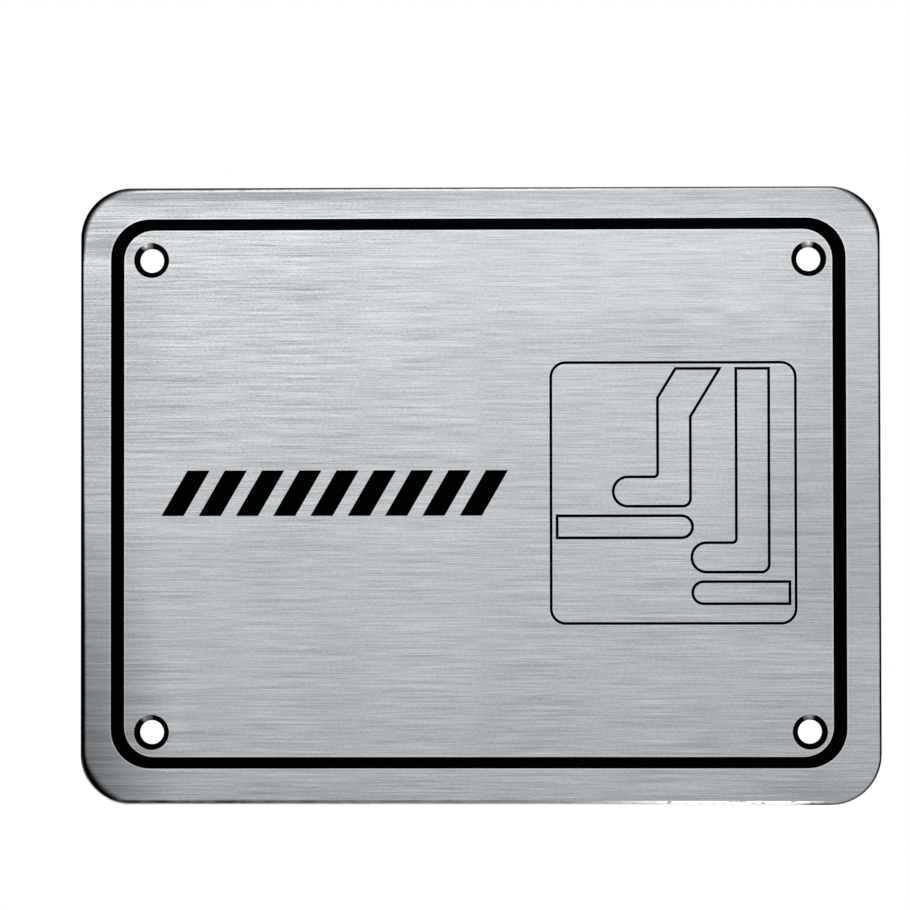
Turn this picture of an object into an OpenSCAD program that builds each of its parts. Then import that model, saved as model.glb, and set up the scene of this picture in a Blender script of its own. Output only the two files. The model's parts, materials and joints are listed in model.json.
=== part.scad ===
// Etched and enamelled wall sign: two legs stepping down, a border and a row of caution bars.
// The plate stands upright with its face toward -Y and its flat back on the plane y = 0.
// Drawings are flat, with x to the right and y up, and upright() then stands them up.

/* [Plate] */
// Width of the plate
plate_w = 180; // [174:1:260]
// Height of the plate
plate_h = 139; // [126:1:200]
// Thickness of the sheet
plate_t = 2; // [1.8:0.1:3]
// Radius of the plate's corners, seen from the front
corner_r = 11.4; // [8:0.1:14]
// Radius of the worn front edge
edge_r = 0.55; // [0.2:0.05:0.8]
// Chamfer that breaks the back edge
back_chamfer = 0.2; // [0.1:0.05:0.4]

/* [Ground corners] */
// How far in from the tip of a rounded corner the grinding reaches
grind_reach = 1.5; // [0.8:0.1:2.6]
// Radius of the roll-off that the grinding leaves
grind_r = 6; // [4:0.5:12]

/* [Screw holes] */
// Diameter of the screw holes
hole_d = 5.4; // [4.6:0.1:6]
// Diameter of the countersinks at the face
sink_d = 7.9; // [6.6:0.1:8.4]
// Angle of the whole cone of a countersink, in degrees
sink_angle = 90; // [82:1:100]
// Distance from the plate's side edges to the middles of the holes
hole_inset_x = 16; // [15:0.1:18]
// Distance from the plate's top and bottom edges to the middles of the holes
hole_inset_z = 16.35; // [15:0.05:18]

/* [Etching] */
// Depth of the etching below the face
etch_depth = 0.3; // [0.2:0.05:0.5]
// Thickness of the enamel on the floor of the etching
enamel_t = 0.16; // [0.08:0.02:0.18]

/* [Border] */
// Plate's left edge to the border
border_left = 6.8; // [5:0.05:8]
// Plate's right edge to the border
border_right = 7.7; // [5:0.05:8]
// Plate's top edge to the border
border_top = 7.05; // [5:0.05:8.5]
// Plate's bottom edge to the border
border_bottom = 8.2; // [5:0.05:8.5]
// Width of the border's upright bands
band_side = 3.05; // [1.5:0.05:3.3]
// Width of the border's level bands
band_level = 2.6; // [1.5:0.05:2.8]
// Outer corner radius of the border
border_r = 8.9; // [6.5:0.1:10]
// Inner corner radius of the border
border_inner_r = 6.7; // [4:0.1:6.9]

/* [Caution bars] */
// Number of slanted bars
bar_count = 9; // [5:1:10]
// Share of the distance from one bar to the next that a bar fills
bar_fill = 0.595; // [0.4:0.005:0.7]
// Height of the row
bar_h = 10.25; // [6:0.05:14]
// Lean of the bars from upright, in degrees
bar_lean = 30; // [15:1:35]
// Plate's left edge to the foot of the first bar
bar_inset = 18.2; // [17:0.1:22]
// Gap between the last bar's top and the pictogram's frame
bar_clearance = 9.3; // [6:0.1:16]
// Height of the row's middle above the plate's middle
bar_rise = 0.6; // [-10:0.1:10]

/* [Pictogram frame] */
// Width of every etched line of the pictogram
line_w = 0.64; // [0.4:0.02:0.8]
// Width of the frame, between the middles of its lines
frame_w = 54.95; // [52:0.05:60]
// Height of the frame, between the middles of its lines
frame_h = 58.65; // [56:0.05:80]
// Corner radius of the frame
frame_r = 3.3; // [1:0.1:6]
// Plate's right edge to the frame
frame_inset = 19.1; // [18:0.1:22]
// Height of the frame's middle above the plate's middle
frame_rise = 0.55; // [-4:0.05:4]
// Gap between the frame and the figures that end beside it
figure_gap = 1.37; // [1:0.01:2]

/* [Steps] */
// Height of a step's bar
step_t = 4.95; // [3:0.05:7]
// Height of one step, tread to tread
step_rise = 14.82; // [13:0.02:18]
// Frame's bottom line to the lower step
step_base = 4.4; // [1:0.1:8]
// Length of the lower step
lower_step_l = 21.8; // [19:0.1:26]

/* [Legs] */
// Width of a leg
leg_w = 7.35; // [5:0.05:8]
// Length of a foot, toe to heel
foot_l = 17.35; // [14:0.05:20]
// Height of a foot, which its round toe shares
foot_h = 6.6; // [5:0.1:8]
// Radius of the heels
heel_r = 1.7; // [0.8:0.1:2.4]
// Radius inside the ankles
ankle_r = 0.9; // [0.5:0.1:1.5]
// Gap between a sole and its tread
sole_gap = 2.15; // [1.2:0.05:3]
// Frame's right line to the heel of the lower leg
leg_inset = 6; // [4:0.1:8]
// Distance from heel to heel
stride = 17.62; // [16:0.02:19]
// Lean of the bent thigh from upright, in degrees
thigh_lean = 31.4; // [20:0.1:35]
// Drop from the top of the bent leg to the front of its knee
knee_front = 6.6; // [4:0.1:9]
// Drop from the top of the bent leg to the back of its knee
knee_back = 10.8; // [9.5:0.1:13]

/* [Hidden] */

$fn = 96;
STEEL = [0.75, 0.77, 0.79];
ENAMEL = [0.02, 0.02, 0.025];

// Corners that the grinding has reached, by the signs of x and y: the lower right one is untouched
GROUND_CORNERS = [[-1, 1], [1, 1], [-1, -1]];

// Radius of the arc on which the grinding begins. It is flatter than the corner, so that what is
// ground is a crescent that ends soon after the rounding does.
grind_arc_r = corner_r + 3 * grind_reach;

// How far a cutter runs past what it cuts
over = 1;

// Heights above the back of the plate
etch_floor = plate_t - etch_depth;
sink_floor = plate_t - (sink_d - hole_d) / 2 / tan(sink_angle / 2);

// Lines of the pictogram's frame, treads and heels
frame_right = plate_w / 2 - frame_inset;
frame_left = frame_right - frame_w;
frame_bottom = frame_rise - frame_h / 2;
frame_top = frame_rise + frame_h / 2;
figure_left = frame_left + figure_gap;
figure_right = frame_right - figure_gap;
figure_top = frame_top - figure_gap;
nose_x = figure_right - lower_step_l;
lower_tread = frame_bottom + step_base + step_t;
upper_tread = lower_tread + step_rise;
lower_heel = [frame_right - leg_inset, lower_tread + sole_gap];
upper_heel = [lower_heel[0] - stride, upper_tread + sole_gap];

// An outline is a list of corners [x, y, radius], counterclockwise, with radius 0 for a sharp one.
// The functions below take three corners in a row, a, b and c, and work on b. grow is how far the
// outline's sides have moved outward.

function before(outline, i) = outline[(i + len(outline) - 1) % len(outline)];
function after(outline, i) = outline[(i + 1) % len(outline)];

// Outward normal of the side from a to b
function normal(a, b) =
    let (step = [b[0] - a[0], b[1] - a[1]])
    [step[1], -step[0]] / norm(step);

// 1 where the outline turns left at b, and -1 where it turns right
function turn(a, b, c) = sign(cross(normal(a, b), normal(b, c)));

// Point where the two sides at b meet
function sharp_corner(a, b, c, grow) =
    let (n1 = normal(a, b), n2 = normal(b, c))
    [b[0], b[1]] + grow * (n1 + n2) / (1 + n1 * n2);

function arc_centre(a, b, c) = sharp_corner(a, b, c, -turn(a, b, c) * b[2]);
function arc_radius(a, b, c, grow) = b[2] + turn(a, b, c) * grow;

// Where the arc begins, its centre, and where it ends
function arc_wedge(a, b, c, grow) =
    let (centre = arc_centre(a, b, c), reach = turn(a, b, c) * arc_radius(a, b, c, grow))
    [centre + reach * normal(a, b), centre, centre + reach * normal(b, c)];

// Straight sides of the outline, with the wedge of each inside corner's arc filled in
function straight_sides(outline, grow) = [
    for (i = [0 : len(outline) - 1])
        let (a = before(outline, i), b = outline[i], c = after(outline, i))
        each b[2] > 0 && turn(a, b, c) < 0
            ? arc_wedge(a, b, c, grow)
            : [sharp_corner(a, b, c, grow)]
];

// What is cut away to round one corner: the sharp tip of an outside one, or an inside one's circle
module corner_cutter(a, b, c, grow) {
    difference() {
        if (turn(a, b, c) > 0)
            polygon(concat(arc_wedge(a, b, c, grow), [sharp_corner(a, b, c, grow)]));
        if (turn(a, b, c) > 0)
            arc_disc(a, b, c, grow);
    }
    if (turn(a, b, c) < 0)
        arc_disc(a, b, c, grow);
}

module arc_disc(a, b, c, grow) {
    translate(arc_centre(a, b, c))
        circle(arc_radius(a, b, c, grow));
}

// Area inside an outline with its corners rounded
module area(outline, grow = 0) {
    difference() {
        polygon(straight_sides(outline, grow));
        for (i = [0 : len(outline) - 1])
            if (outline[i][2] > 0)
                corner_cutter(before(outline, i), outline[i], after(outline, i), grow);
    }
}

// Line of one width along an outline
module line_along(outline) {
    difference() {
        area(outline, line_w / 2);
        area(outline, -line_w / 2);
    }
}

// Box from its lower left corner to its upper right one, with equal corners
function box(low, high, r) = [
    [low[0], low[1], r],
    [high[0], low[1], r],
    [high[0], high[1], r],
    [low[0], high[1], r],
];

// Bar of a step: square at end_x, where it meets the frame, and round at the nose
function step_bar(end_x, tread) =
    let (low = tread - step_t, r = step_t / 2)
    end_x < nose_x
        ? [[end_x, low, 0], [nose_x, low, r], [nose_x, tread, r], [end_x, tread, 0]]
        : [[nose_x, low, r], [end_x, low, 0], [end_x, tread, 0], [nose_x, tread, r]];

// Foot from the front of the ankle round the toe to the heel
function foot(heel) =
    let (x = heel[0], sole = heel[1], toe_r = foot_h / 2)
    [
        [x - leg_w, sole + foot_h, ankle_r],
        [x - foot_l, sole + foot_h, toe_r],
        [x - foot_l, sole, toe_r],
        [x, sole, heel_r],
    ];

function straight_leg(heel) = concat(foot(heel), [
    [heel[0], figure_top, 0],
    [heel[0] - leg_w, figure_top, 0],
]);

// Leg with its thigh leaning back above the knee
function bent_leg(heel) =
    let (back_x = heel[0], front_x = heel[0] - leg_w)
    concat(foot(heel), [
        [back_x, figure_top - knee_back, 0],
        [back_x + knee_back * tan(thigh_lean), figure_top, 0],
        [front_x + knee_front * tan(thigh_lean), figure_top, 0],
        [front_x, figure_top - knee_front, 0],
    ]);

module border_drawing() {
    low = [border_left - plate_w / 2, border_bottom - plate_h / 2];
    high = [plate_w / 2 - border_right, plate_h / 2 - border_top];
    band = [band_side, band_level];
    difference() {
        area(box(low, high, border_r));
        area(box(low + band, high - band, border_inner_r));
    }
}

module caution_bar_drawing() {
    row_start = bar_inset - plate_w / 2;
    row_end = frame_left - line_w / 2 - bar_clearance;
    slant = bar_h * tan(bar_lean);
    pitch = (row_end - row_start - slant) / (bar_count - 1 + bar_fill);
    bar_w = bar_fill * pitch;
    for (i = [0 : bar_count - 1])
        translate([row_start + i * pitch, bar_rise - bar_h / 2])
            polygon([[0, 0], [bar_w, 0], [bar_w + slant, bar_h], [slant, bar_h]]);
}

module pictogram_frame_drawing() {
    line_along(box([frame_left, frame_bottom], [frame_right, frame_top], frame_r));
}

module upper_leg_drawing() {
    line_along(bent_leg(upper_heel));
}

module lower_leg_drawing() {
    line_along(straight_leg(lower_heel));
}

module upper_step_drawing() {
    line_along(step_bar(figure_left, upper_tread));
}

module lower_step_drawing() {
    line_along(step_bar(figure_right, lower_tread));
}

// Stands what lies flat upright, with its face toward -Y
module upright() {
    rotate([90, 0, 0])
        children();
}

// Repeats a cutter at the four screw holes
module at_screw_holes() {
    for (x = [-1, 1])
        for (y = [-1, 1])
            translate([x * (plate_w / 2 - hole_inset_x), y * (plate_h / 2 - hole_inset_z)])
                children();
}

// Runs a profile round the rim of the plate, with the profile's x = 0 on the rim
module round_the_rim() {
    half = [plate_w / 2, plate_h / 2];
    for (side = [0 : 3]) {
        out = half[side % 2];
        along = half[(side + 1) % 2] - corner_r;
        rotate(90 * side) {
            translate([out, along, 0])
                rotate([90, 0, 0])
                    linear_extrude(2 * along)
                        children();
            translate([out - corner_r, along, 0])
                rotate_extrude(angle = 90)
                    translate([corner_r, 0])
                        children();
        }
    }
}

module front_edge_profile() {
    translate([-edge_r, plate_t - edge_r])
        difference() {
            square(edge_r + over);
            circle(edge_r);
        }
}

module back_edge_profile() {
    polygon([
        [-back_chamfer - over, -over],
        [over, -over],
        [over, back_chamfer + over],
    ]);
}

// Sheet cut to its outline, with its edges broken
module blank() {
    difference() {
        linear_extrude(plate_t)
            area(box([-plate_w, -plate_h] / 2, [plate_w, plate_h] / 2, corner_r));
        round_the_rim()
            front_edge_profile();
        round_the_rim()
            back_edge_profile();
    }
}

module screw_hole_cutter() {
    translate([0, 0, -over])
        cylinder(d = hole_d, h = plate_t + 2 * over);
    translate([0, 0, sink_floor])
        cylinder(d1 = hole_d, d2 = sink_d, h = plate_t - sink_floor);
}

// Roll-off that begins level with the face and drops toward the tip of the corner
module grinding_cutter() {
    translate([corner_r - grind_reach - grind_arc_r, 0, plate_t])
        rotate(-45)
            rotate_extrude(angle = 90)
                translate([grind_arc_r, 0])
                    roll_off_profile();
}

module roll_off_profile() {
    difference() {
        translate([0, -over])
            square([grind_reach + over, 2 * over]);
        translate([0, -grind_r])
            circle(grind_r);
    }
}

module etching_cutter() {
    translate([0, 0, etch_floor])
        linear_extrude(etch_depth + over) {
            border_drawing();
            caution_bar_drawing();
            pictogram_frame_drawing();
            upper_leg_drawing();
            lower_leg_drawing();
            upper_step_drawing();
            lower_step_drawing();
        }
}

module sign_plate() {
    color(STEEL)
        upright()
            difference() {
                blank();
                at_screw_holes()
                    screw_hole_cutter();
                for (corner = GROUND_CORNERS)
                    translate([corner[0] * (plate_w / 2 - corner_r), corner[1] * (plate_h / 2 - corner_r)])
                        rotate(atan2(corner[1], corner[0]))
                            grinding_cutter();
                etching_cutter();
            }
}

// Enamel on the floor of the etching, a little lower than the face
module enamel() {
    color(ENAMEL)
        upright()
            translate([0, 0, etch_floor])
                linear_extrude(enamel_t)
                    children();
}

module border_infill() {
    enamel()
        border_drawing();
}

module caution_bar_infill() {
    enamel()
        caution_bar_drawing();
}

module pictogram_frame_infill() {
    enamel()
        pictogram_frame_drawing();
}

module upper_leg_infill() {
    enamel()
        upper_leg_drawing();
}

module lower_leg_infill() {
    enamel()
        lower_leg_drawing();
}

module upper_step_infill() {
    enamel()
        upper_step_drawing();
}

module lower_step_infill() {
    enamel()
        lower_step_drawing();
}

sign_plate();
border_infill();
caution_bar_infill();
pictogram_frame_infill();
upper_leg_infill();
lower_leg_infill();
upper_step_infill();
lower_step_infill();
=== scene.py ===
import json
import math

import bmesh
import bpy
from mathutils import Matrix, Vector


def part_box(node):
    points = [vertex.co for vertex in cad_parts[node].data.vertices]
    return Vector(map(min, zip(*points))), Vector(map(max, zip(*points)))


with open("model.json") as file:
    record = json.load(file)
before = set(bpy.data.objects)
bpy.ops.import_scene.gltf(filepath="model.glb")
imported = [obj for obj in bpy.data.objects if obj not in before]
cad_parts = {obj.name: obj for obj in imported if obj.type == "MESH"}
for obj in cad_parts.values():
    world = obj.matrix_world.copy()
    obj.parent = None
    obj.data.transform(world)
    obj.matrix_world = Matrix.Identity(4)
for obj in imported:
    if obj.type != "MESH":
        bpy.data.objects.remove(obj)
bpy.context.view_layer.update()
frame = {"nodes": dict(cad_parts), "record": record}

MM = 0.001
NODES = frame["nodes"]

# The plate, as it was modelled
PLATE_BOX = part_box("sign_plate")
PLATE_LOW, PLATE_HIGH = PLATE_BOX
HALF_W = (PLATE_HIGH.x - PLATE_LOW.x) / 2
HALF_H = (PLATE_HIGH.z - PLATE_LOW.z) / 2
CORNER_R = 11.4 * MM

# The border and the pictogram's frame, as they were modelled
BORDER_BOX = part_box("border_infill")
BORDER_R = 8.9 * MM
BORDER_INNER_R = 6.7 * MM
BORDER_BAND = (3.05 * MM, 2.6 * MM)
FRAME_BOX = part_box("pictogram_frame_infill")
FRAME_R = 3.62 * MM
LINE_W = 0.64 * MM

# The screw holes, and how wide their countersinks are at the face
MOUNTS = {mount["name"]: mount for mount in frame["record"]["mounts"]}
SCREW_HOLES = MOUNTS["screw_holes"]["dims"]
HOLE_X = SCREW_HOLES["spacing_x_mm"] / 2 * MM
HOLE_Z = SCREW_HOLES["spacing_y_mm"] / 2 * MM
SINK_R = 7.9 / 2 * MM

# Directions of the painted glints in the left and the right countersinks, seen from their middles, in x and
# z
GLINT_LEFT = (-0.31, 0.95)
GLINT_RIGHT = (-0.095, 0.995)

# Tones of the plate where it isn't its brushed face; its black is painted dark and its bright tone painted
# highlight
SIDE_TONE = 0.42
BACK_TONE = 0.5
BLACK_TONE = 0.002
HIGHLIGHT_TONE = 0.95
TONE_LIMIT = 0.97

# How weakly the painted dark of the rim and countersinks, and the enamel, shine, as a specular level
BLACK_SHINE = 0.008

# Halfway between the reader and the softbox, as seen from the plate
TOWARD_LIGHT = (-0.04, -0.97, 0.21)

# Cell size of noise, in metres, along a direction in which the thin plate shows no change
STILL = 1.0

# The studio, in metres
FLOOR_Z = -0.50
BACKDROP_Y = 1.6
STAGE_REACH = 4.0


class Field:
    """A number that varies over a surface, as the output of a shader node. Sums and products make nodes."""

    def __init__(self, tree, socket):
        self.tree = tree
        self.socket = socket

    def math(self, operation, *values):
        node = self.tree.nodes.new("ShaderNodeMath")
        node.operation = operation
        for socket, value in zip(node.inputs, (self, *values)):
            plug(socket, value)
        return Field(self.tree, node.outputs[0])

    def __add__(self, other):
        return self.math("ADD", other)

    def __sub__(self, other):
        return self.math("SUBTRACT", other)

    def __mul__(self, other):
        return self.math("MULTIPLY", other)

    def __truediv__(self, other):
        return self.math("DIVIDE", other)

    def __abs__(self):
        return self.math("ABSOLUTE")

    def max(self, other):
        return self.math("MAXIMUM", other)

    def min(self, other):
        return self.math("MINIMUM", other)

    def hypot(self, other):
        return (self * self + other * other).math("SQRT")

    def inverse(self):
        """1 minus this field."""
        return (self * -1) + 1

    def ramp(self, start, end, low=0.0, high=1.0):
        """Goes smoothly from low to high as this field goes from start to end. All four are numbers."""
        node = self.tree.nodes.new("ShaderNodeMapRange")
        node.interpolation_type = "SMOOTHSTEP"
        names = ("Value", "From Min", "From Max", "To Min", "To Max")
        swapped = start > end
        values = (self, end, start, high, low) if swapped else (self, start, end, low, high)
        for name, value in zip(names, values):
            plug(node.inputs[name], value)
        return Field(self.tree, node.outputs["Result"])


def plug(socket, value):
    """Sets a socket to a number, or links a field to it."""
    if isinstance(value, Field):
        value.tree.links.new(value.socket, socket)
    else:
        socket.default_value = value


def new_material(name):
    """Returns an empty material, its node tree and its Principled BSDF."""
    material = bpy.data.materials.new(name)
    material.use_nodes = True
    tree = material.node_tree
    tree.nodes.clear()
    output = tree.nodes.new("ShaderNodeOutputMaterial")
    shader = tree.nodes.new("ShaderNodeBsdfPrincipled")
    tree.links.new(shader.outputs["BSDF"], output.inputs["Surface"])
    return material, tree, shader


def coordinates(tree, kind):
    """The x, y and z of one kind of texture coordinate."""
    source = tree.nodes.new("ShaderNodeTexCoord")
    split = tree.nodes.new("ShaderNodeSeparateXYZ")
    tree.links.new(source.outputs[kind], split.inputs["Vector"])
    return [Field(tree, split.outputs[axis]) for axis in "XYZ"]


def place(tree):
    """The point that is shaded, in metres in the sign's own frame: its x, y and z."""
    return coordinates(tree, "Object")


def facing(tree):
    """1 where the surface faces the reader, 0 on its sides and -1 on its back."""
    return coordinates(tree, "Normal")[1] * -1


def noise(point, cell, detail=2.0, roughness=0.5):
    """Noise from 0 to 1 whose grains are about cell = (x, y, z) metres in size."""
    tree = point[0].tree
    join = tree.nodes.new("ShaderNodeCombineXYZ")
    for socket, value, size in zip(join.inputs, point, cell):
        plug(socket, value / size)
    node = tree.nodes.new("ShaderNodeTexNoise")
    node.inputs["Scale"].default_value = 1.0
    node.inputs["Detail"].default_value = detail
    node.inputs["Roughness"].default_value = roughness
    tree.links.new(join.outputs["Vector"], node.inputs["Vector"])
    return Field(tree, node.outputs["Fac"])


def face_noise(point, width, height, detail=1.0, roughness=0.5):
    """Noise over the face whose grains are about width by height millimetres."""
    return noise(point, (width * MM, STILL, height * MM), detail, roughness)


def grey(value, tint):
    """Colour of one lightness with a slight tint."""
    join = value.tree.nodes.new("ShaderNodeCombineColor")
    for socket, share in zip(join.inputs, tint):
        plug(socket, value * share)
    return Field(value.tree, join.outputs["Color"])


def bump(shader, height, distance, strength, normal=None):
    """Adds fine relief to a shader, on the surface's own normal or on another one."""
    tree = height.tree
    node = tree.nodes.new("ShaderNodeBump")
    node.inputs["Strength"].default_value = strength
    node.inputs["Distance"].default_value = distance
    plug(node.inputs["Height"], height)
    if normal:
        tree.links.new(normal, node.inputs["Normal"])
    tree.links.new(node.outputs["Normal"], shader.inputs["Normal"])


def turned_normal(share, direction):
    """The surface's own normal where share is 0, and direction where it is 1."""
    tree = share.tree
    source = tree.nodes.new("ShaderNodeTexCoord")
    own = tree.nodes.new("ShaderNodeVectorMath")
    own.operation = "SCALE"
    tree.links.new(source.outputs["Normal"], own.inputs[0])
    plug(own.inputs["Scale"], share.inverse())
    total = tree.nodes.new("ShaderNodeVectorMath")
    total.operation = "MULTIPLY_ADD"
    total.inputs[0].default_value = direction
    plug(total.inputs[1], share)
    tree.links.new(own.outputs["Vector"], total.inputs[2])
    unit = tree.nodes.new("ShaderNodeVectorMath")
    unit.operation = "NORMALIZE"
    tree.links.new(total.outputs["Vector"], unit.inputs[0])
    return unit.outputs["Vector"]


def blend(first, second, share):
    """first where share is 0, and second where it is 1."""
    return share.inverse() * first + share * second


def band(field, start, end, soft):
    """1 where the field lies between start and end, with a soft edge outside each."""
    return field.ramp(start - soft, start) * field.ramp(end + soft, end)


def left_half(x):
    return x.ramp(1 * MM, -1 * MM)


def lower_half(z):
    return z.ramp(1 * MM, -1 * MM)


def outside_box(x, z, box, radius, inset=(0.0, 0.0)):
    """Distance outside a box with rounded corners, negative inside it."""
    low, high = box
    past_x = abs(x - (low.x + high.x) / 2) - ((high.x - low.x) / 2 - inset[0] - radius)
    past_z = abs(z - (low.z + high.z) / 2) - ((high.z - low.z) / 2 - inset[1] - radius)
    return past_x.max(0.0).hypot(past_z.max(0.0)) + past_x.max(past_z).min(0.0) - radius


def hole_distance(x, z):
    """Distance from the middle of the nearest screw hole."""
    return (abs(x) - HOLE_X).hypot(abs(z) - HOLE_Z)


def painted_glint(x, z):
    """How much of each countersink's upper side is left bare steel, as a painted glint set where the glint
    falls, half as strong on the lower holes.
    """
    right = left_half(x).inverse()
    across = x + HOLE_X - right * (2 * HOLE_X)
    rise = z - HOLE_Z + lower_half(z) * (2 * HOLE_Z)
    glint_x, glint_z = (blend(*pair, right) for pair in zip(GLINT_LEFT, GLINT_RIGHT))
    toward = (across * glint_x + rise * glint_z) / hole_distance(x, z)
    return toward.ramp(0.9, 1.0) * z.ramp(-10 * MM, 10 * MM, 0.5, 1.0)


def painted_dark_sinks(x, z, front):
    """1 in the countersinks, which are painted dark, a painted reflection of dark surroundings, but for
    their painted glints.
    """
    sinks = hole_distance(x, z).ramp(SINK_R + 0.05 * MM, SINK_R - 0.05 * MM)
    return sinks * front.ramp(-0.3, -0.1) * painted_glint(x, z).inverse()


class Rim:
    """Where a point lies along the rolled rim. Each side, half and corner is 1 on it and 0 away from it."""

    def __init__(self, x, z, raggedness):
        self.depth = outside_box(x, z, PLATE_BOX, CORNER_R) * -1 + (raggedness - 0.5) * (0.2 * MM)

        # turn is 0 in the middle of a corner, positive toward its upright side and negative toward
        # its level one
        self.turn = (abs(x) - abs(z)) - (HALF_W - HALF_H)
        self.upright = self.turn.ramp(-6 * MM, 6 * MM)
        self.level = self.upright.inverse()
        self.left = left_half(x)
        self.right = self.left.inverse()
        self.lower = lower_half(z)
        self.upper = self.lower.inverse()

        self.upper_left = self.upper * self.left * self.around(18, 6) * self.around(-16, -3)
        self.upper_right = self.upper * self.right * self.around(14, 4) * self.around(-13, -2)
        self.lower_left = self.lower * self.left * self.around(12, 0) * self.around(-12, -4)
        self.lower_right = self.lower * self.right * self.around(12, 3)
        self.ground = self.upper_left.max(self.upper_right).max(self.lower_left)

    def around(self, start, end):
        """Goes from 0 to 1 between two turns in millimetres."""
        return self.turn.ramp(start * MM, end * MM)


def painted_dark_rim(rim, x, z):
    """1 where the rim is painted dark, a painted reflection of dark surroundings: widest at the ground
    corners, and growing down the left side.
    """
    down_left = rim.left * z.ramp(50 * MM, -55 * MM)
    side_width = rim.left * (0.14 * MM) + down_left * (0.5 * MM) + 0.5 * MM
    level_width = rim.lower * rim.left * (0.24 * MM) + 0.36 * MM
    level_width = level_width + rim.upper * x.ramp(-20 * MM, -70 * MM) * (0.14 * MM)
    width = blend(level_width, side_width, rim.upright) - rim.lower_right * (0.03 * MM)
    width = width + rim.upper_left * (0.65 * MM) + rim.upper_right * (0.55 * MM)
    width = width + rim.lower_left * (0.95 * MM)
    fade = rim.ground * (0.46 * MM) + down_left * (0.2 * MM) + rim.lower_right * (0.12 * MM) + 0.14 * MM
    black = ((rim.depth - width) / fade).ramp(1.0, -1.0)

    # The painted dark is paler along the top, and missing along the bottom between its corners
    pale = x.ramp(-10 * MM, 50 * MM, 0.2, 0.36) * rim.upper
    missing = rim.lower_left.max(x.ramp(62 * MM, 74 * MM) * 0.97).inverse() * rim.lower
    lost = (pale + missing) * rim.level * rim.ground.inverse()
    return black * lost.inverse() * (rim.lower_right * rim.upright * 0.1).inverse()


def bottom_shadow(rim, x, patchy):
    """A shadow inside the bottom edge, up to where the edge glares instead."""
    shadow = rim.depth.ramp(0.25 * MM, 0.62 * MM) * rim.depth.ramp(1.4 * MM, 0.9 * MM)
    shadow = shadow * x.ramp(45 * MM, -5 * MM) * x.ramp(-5 * MM, -60 * MM, 0.45, 0.8)
    return (shadow * rim.lower * rim.level * patchy.ramp(0.3, 0.7, 0.72, 1.2)).min(0.92)


def dark_gaps(rim, raggedness):
    """1 on small gaps in the rim's painted dark at the lower left, where it begins."""
    gapped = band(rim.depth, 0.42 * MM, 0.56 * MM, 0.1 * MM) * rim.lower * rim.left
    return gapped * band(rim.turn, -18 * MM, -12 * MM, 2 * MM) * raggedness.ramp(0.45, 0.55)


def bottom_line(rim):
    """1 on the outermost line of the bottom edge, where a highlight is painted in place of the painted
    dark.
    """
    along = rim.left * rim.around(16, 0) + rim.right * rim.around(-14, -20)
    return along * rim.depth.ramp(0.5 * MM, 0.2 * MM) * rim.lower


def bottom_glare(rim, x, flecks):
    """1 where the bottom edge glares over its whole width, toward the right."""
    glare = rim.depth.ramp(1.0 * MM, 0.8 * MM) * rim.lower * x.ramp(12 * MM, 55 * MM)
    return glare * rim.around(-8, -20) * flecks * rim.level


def top_line(rim, x, raggedness):
    """The painted highlight line inside the painted dark of the top edge, which fades to the right."""
    from_top = rim.depth - x.ramp(-10 * MM, -70 * MM) * (0.16 * MM)
    line = band(from_top, 0.54 * MM, 0.76 * MM, 0.16 * MM) * rim.upper * rim.level
    return line * x.ramp(-10 * MM, 55 * MM, 0.85, 0.3) * raggedness.ramp(0.2, 0.6, 0.4, 1.0)


def rim_shade_and_highlights(x, y, z, front):
    """Masks for the rolled rim: where it is painted dark, as painted shade and reflection, where a
    highlight is painted, and where it glares.
    """
    # This noise makes the edges of the painted dark and of the painted highlights ragged
    raggedness = face_noise((x, y, z), 2.2, 2.2, detail=3.0, roughness=0.7)
    patchy = face_noise((x, y, z), 9, 9, detail=3.0, roughness=0.8)
    flecks = face_noise((x, y, z), 1.6, 0.6).ramp(0.3, 0.46)
    rim = Rim(x, z, raggedness)
    line = bottom_line(rim)
    black = painted_dark_rim(rim, x, z).max(bottom_shadow(rim, x, patchy))
    black = black * (dark_gaps(rim, raggedness) * 0.5).inverse() * (line * 0.8).inverse()
    glare = bottom_glare(rim, x, flecks).max(line * 0.9)
    bright = top_line(rim, x, raggedness).max(glare)
    rolled = front.ramp(0.05, 0.2)
    return black * rolled, bright * rolled, glare * rolled


def face_lightness(x, z, streaks):
    """1 over most of the face and less where it is darker: toward the lower left, along the top and bottom
    edges as painted shade, in patches at the left and right, and in a smudge at the upper left.
    """
    from_corner = ((x + HALF_W) / (18 * MM)).hypot((z + HALF_H) / (70 * MM))
    lower_left = ((from_corner + (streaks - 0.5) * 0.5) * 0.62 + 0.27).min(1.0)
    from_top = z * -1 + HALF_H + (streaks - 0.5) * (2 * MM)
    from_bottom = z + HALF_H
    # Painted shade along the top and bottom edges
    top = from_top.ramp(9 * MM, 3 * MM) * 0.1
    top = top + band(from_top, 1.1 * MM, 2.2 * MM, 0.9 * MM) * x.ramp(30 * MM, -60 * MM, 0.06, 0.26)
    bottom = x.ramp(-40 * MM, 0 * MM, 0.06, 0.0) + x.ramp(45 * MM, 80 * MM) * 0.15
    bottom = bottom * from_bottom.ramp(9 * MM, 3 * MM)
    left = x.ramp(-62 * MM, -84 * MM) * band(z, 14 * MM, 42 * MM, 12 * MM) * 0.14
    right = x.ramp(50 * MM, 78 * MM) * band(z, -22 * MM, 10 * MM, 14 * MM) * 0.14
    right = right + x.ramp(66 * MM, 80 * MM) * z.ramp(10 * MM, 24 * MM) * 0.08
    smudge = ((x + 84 * MM) / (7 * MM)).hypot((z - 57 * MM) / (3.5 * MM)) + (streaks - 0.5) * 2
    smudge = smudge.ramp(1.3, 0.3) * 0.3
    return lower_left * (top + bottom + left + right + smudge).inverse()


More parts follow.
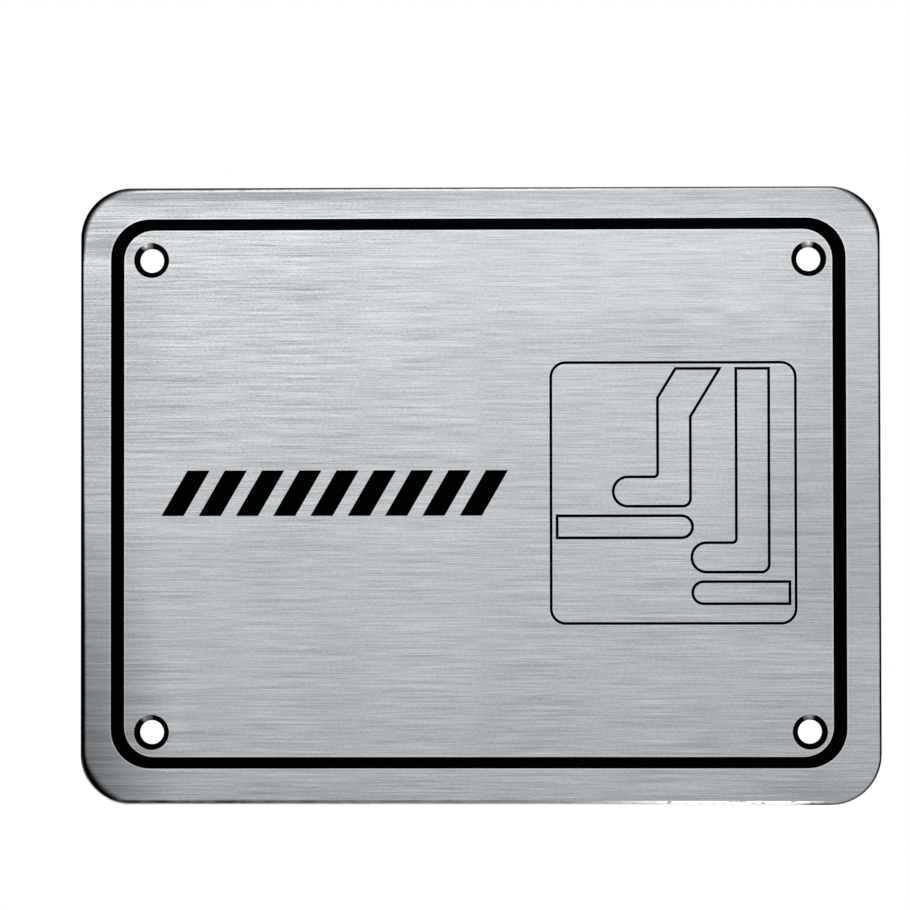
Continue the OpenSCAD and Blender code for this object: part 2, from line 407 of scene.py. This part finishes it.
def painted_lip_highlights(x, z):
    """1 along the lips of the etching and of the countersinks, where a bright line is painted as a
    highlight.
    """
    border = abs(outside_box(x, z, BORDER_BOX, BORDER_R))
    border = border.min(abs(outside_box(x, z, BORDER_BOX, BORDER_INNER_R, BORDER_BAND)))
    frame_line = abs(outside_box(x, z, FRAME_BOX, FRAME_R) + LINE_W / 2) - LINE_W / 2
    sink = hole_distance(x, z) - SINK_R
    weak = frame_line.min(sink).ramp(0.3 * MM, 0.05 * MM) * 0.5
    return weak.max(border.ramp(0.42 * MM, 0.1 * MM))


def brushed_face(x, y, z):
    """Tone of the face's hairline finish, with painted light that brightens it low down, painted shade at
    its edges and painted highlights on its lips, and the noise of its hairs, its specks and its clouds.
    """
    # The grain runs along x and is bent a little by the sway of the belt
    sway = face_noise((x, y, z), 45, 30)
    level = z + (sway - 0.5) * (0.6 * MM)
    streaks = face_noise((x, y, level), 110, 0.8)
    bands = face_noise((x, y, level), 130, 5, detail=2.0)
    clouds = face_noise((x, y, z), 28, 22, detail=2.0)
    scattered = x + (streaks - 0.5) * (5 * MM)
    hairs = face_noise((scattered, y, level), 28, 0.26)
    specks = face_noise((scattered, y, level), 0.7, 0.25, detail=2.0, roughness=0.7)
    scratches = face_noise((scattered, y, level), 9, 0.23).ramp(0.3, 0.7, -1.0, 1.0)

    # It is strongest at the upper left, and the face is painted a little brighter low down, as painted
    # light
    grain = (hairs - 0.5) * 0.5 + (specks - 0.5) * 0.56 + scratches * 0.07 + (streaks - 0.5) * 0.14
    grain = grain * (x.ramp(20 * MM, -60 * MM) * z.ramp(-20 * MM, 30 * MM) * 0.5 + 1.05)
    patches = (bands - 0.5) * 0.10 + (clouds - 0.5) * 0.12
    tone = grain + patches + z.ramp(40 * MM, -65 * MM, 0.66, 0.745)
    # Darkening, with painted shade along the edges, and painted highlight lines on the lips
    tone = tone * face_lightness(x, z, streaks) + painted_lip_highlights(x, z) * 0.18
    return tone, hairs, specks, clouds


def brushed_steel():
    """Brushed steel with painted dark and painted highlights on its rolled rim, countersinks painted dark
    with painted glints, sheared sides and a duller back.
    """
    material, tree, shader = new_material("brushed_steel")
    x, y, z = place(tree)
    front = facing(tree)
    face_tone, hairs, specks, clouds = brushed_face(x, y, z)
    shear = noise((x, y, z), (1.6 * MM, 0.12 * MM, 1.6 * MM))
    side_tone = (shear - 0.5) * 0.3 + SIDE_TONE
    back_tone = (hairs - 0.5) * 0.2 + (clouds - 0.5) * 0.16 + BACK_TONE
    tone = blend(side_tone, face_tone, front.ramp(0.05, 0.35))
    tone = blend(tone, back_tone, front.ramp(-0.3, -0.8))

    # The black of the rim and of the countersinks is painted dark, and the bright of the rim painted
    # highlight
    black_rim, bright_rim, glare = rim_shade_and_highlights(x, y, z, front)
    black = black_rim.max(painted_dark_sinks(x, z, front))
    tone = blend(blend(tone, HIGHLIGHT_TONE, bright_rim), BLACK_TONE, black).min(TONE_LIMIT)
    warmth = (clouds - 0.5) * 0.05
    tint = (warmth + 0.93, warmth * -0.3 + 0.972, 1.0)
    plug(shader.inputs["Base Color"], grey(tone, tint))
    plug(shader.inputs["Metallic"], black.inverse())
    plug(shader.inputs["Specular IOR Level"], BLACK_SHINE)
    plug(shader.inputs["Roughness"], (hairs - 0.5) * 0.2 + 0.36)

    # Where the rim glares it is bruised flat, toward the light
    relief = (hairs + specks * 0.4) * black.inverse()
    bump(shader, relief, 0.02 * MM, 0.25, turned_normal(glare, TOWARD_LIGHT))
    return material


def black_enamel():
    """Deep black enamel with a faint peel and a little dust."""
    material, tree, shader = new_material("black_enamel")
    x, y, z = place(tree)
    peel = face_noise((x, y, z), 0.9, 0.9, detail=2.0)
    dust = face_noise((x, y, z), 0.25, 0.25).ramp(0.72, 0.8)
    tone = peel * 0.0006 + dust * 0.004 + 0.0002
    plug(shader.inputs["Base Color"], grey(tone, (1.0, 0.95, 0.97)))
    plug(shader.inputs["Roughness"], peel * 0.12 + 0.3)
    plug(shader.inputs["Specular IOR Level"], BLACK_SHINE)
    bump(shader, peel, 0.01 * MM, 0.3)
    return material


def dress_plate_and_enamel():
    steel = brushed_steel()
    enamel = black_enamel()
    for name, piece in NODES.items():
        material = steel if name == "sign_plate" else enamel
        piece.data.materials.clear()
        piece.data.materials.append(material)


def quad(name, corners, material):
    """One flat four-sided sheet."""
    mesh = bpy.data.meshes.new(name)
    shape = bmesh.new()
    shape.faces.new([shape.verts.new(corner) for corner in corners])
    shape.to_mesh(mesh)
    shape.free()
    mesh.materials.append(material)
    piece = bpy.data.objects.new(name, mesh)
    bpy.context.scene.collection.objects.link(piece)


def pale_floor():
    material, tree, shader = new_material("pale_floor")
    mottle = noise(place(tree), (0.3, 0.3, 0.3))
    plug(shader.inputs["Base Color"], grey(mottle * 0.02 + 0.8, (1.0, 1.0, 1.0)))
    plug(shader.inputs["Roughness"], 0.8)
    return material


def white_backdrop():
    """White to the camera, and in metal and glass, but a plain pale wall to other light."""
    material, tree, shader = new_material("white_backdrop")
    shader.inputs["Base Color"].default_value = (0.8, 0.8, 0.8, 1.0)
    path = tree.nodes.new("ShaderNodeLightPath")
    seen = Field(tree, path.outputs["Is Camera Ray"])
    seen = seen.max(Field(tree, path.outputs["Is Glossy Ray"]))
    seen = seen.max(Field(tree, path.outputs["Is Transmission Ray"]))
    glow = tree.nodes.new("ShaderNodeEmission")
    glow.inputs["Strength"].default_value = 1.0
    mix = tree.nodes.new("ShaderNodeMixShader")
    plug(mix.inputs["Fac"], seen)
    tree.links.new(shader.outputs["BSDF"], mix.inputs[1])
    tree.links.new(glow.outputs["Emission"], mix.inputs[2])
    output = next(node for node in tree.nodes if node.type == "OUTPUT_MATERIAL")
    tree.links.new(mix.outputs["Shader"], output.inputs["Surface"])
    return material


def add_stage():
    side, front, back, top = STAGE_REACH, -STAGE_REACH, BACKDROP_Y, STAGE_REACH
    near = [(-side, front, FLOOR_Z), (side, front, FLOOR_Z)]
    seam = [(side, back, FLOOR_Z), (-side, back, FLOOR_Z)]
    high = [(side, back, top), (-side, back, top)]
    quad("floor", near + seam, pale_floor())
    quad("backdrop", seam[::-1] + high, white_backdrop())


def add_world():
    """A dim studio, even all round."""
    world = bpy.data.worlds.new("studio")
    bpy.context.scene.world = world
    world.use_nodes = True
    sky = world.node_tree.nodes["Background"]
    sky.inputs["Color"].default_value = (0.97, 0.985, 1.0, 1.0)
    sky.inputs["Strength"].default_value = 0.25


def add_area_light(name, place_at, width, height, radiance):
    """A rectangular lamp aimed at the plate. radiance is how bright its surface looks, 1 being white."""
    lamp = bpy.data.lights.new(name, "AREA")
    lamp.shape = "RECTANGLE"
    lamp.size = width
    lamp.size_y = height
    lamp.energy = radiance * math.pi * width * height
    piece = bpy.data.objects.new(name, lamp)
    piece.location = place_at
    piece.rotation_euler = (-Vector(place_at)).to_track_quat("-Z", "Y").to_euler()
    piece.visible_camera = False
    bpy.context.scene.collection.objects.link(piece)


def add_lights():
    """A large softbox over the reader's head, and a small lamp low down that glints in the countersinks."""
    add_area_light("softbox", (-0.12, -1.5, 0.68), width=1.6, height=1.3, radiance=1.49)
    add_area_light("glint", (0.105, -0.06, -0.45), width=0.06, height=0.06, radiance=12.0)


def add_camera():
    """A long lens, a little below the middle of the plate and nearly square to it."""
    lens = bpy.data.cameras.new("camera")
    lens.lens = 157.973
    lens.sensor_width = 36.0
    camera = bpy.data.objects.new("camera", lens)
    camera.location = (0.01121, -0.9, -0.01294)
    camera.rotation_euler = [math.radians(angle) for angle in (91.4079, 0.0798, 1.0759)]
    bpy.context.scene.collection.objects.link(camera)
    bpy.context.scene.camera = camera


def main():
    add_camera()
    add_stage()
    add_world()
    add_lights()
    dress_plate_and_enamel()
    bpy.context.scene.view_settings.view_transform = "Standard"


main()
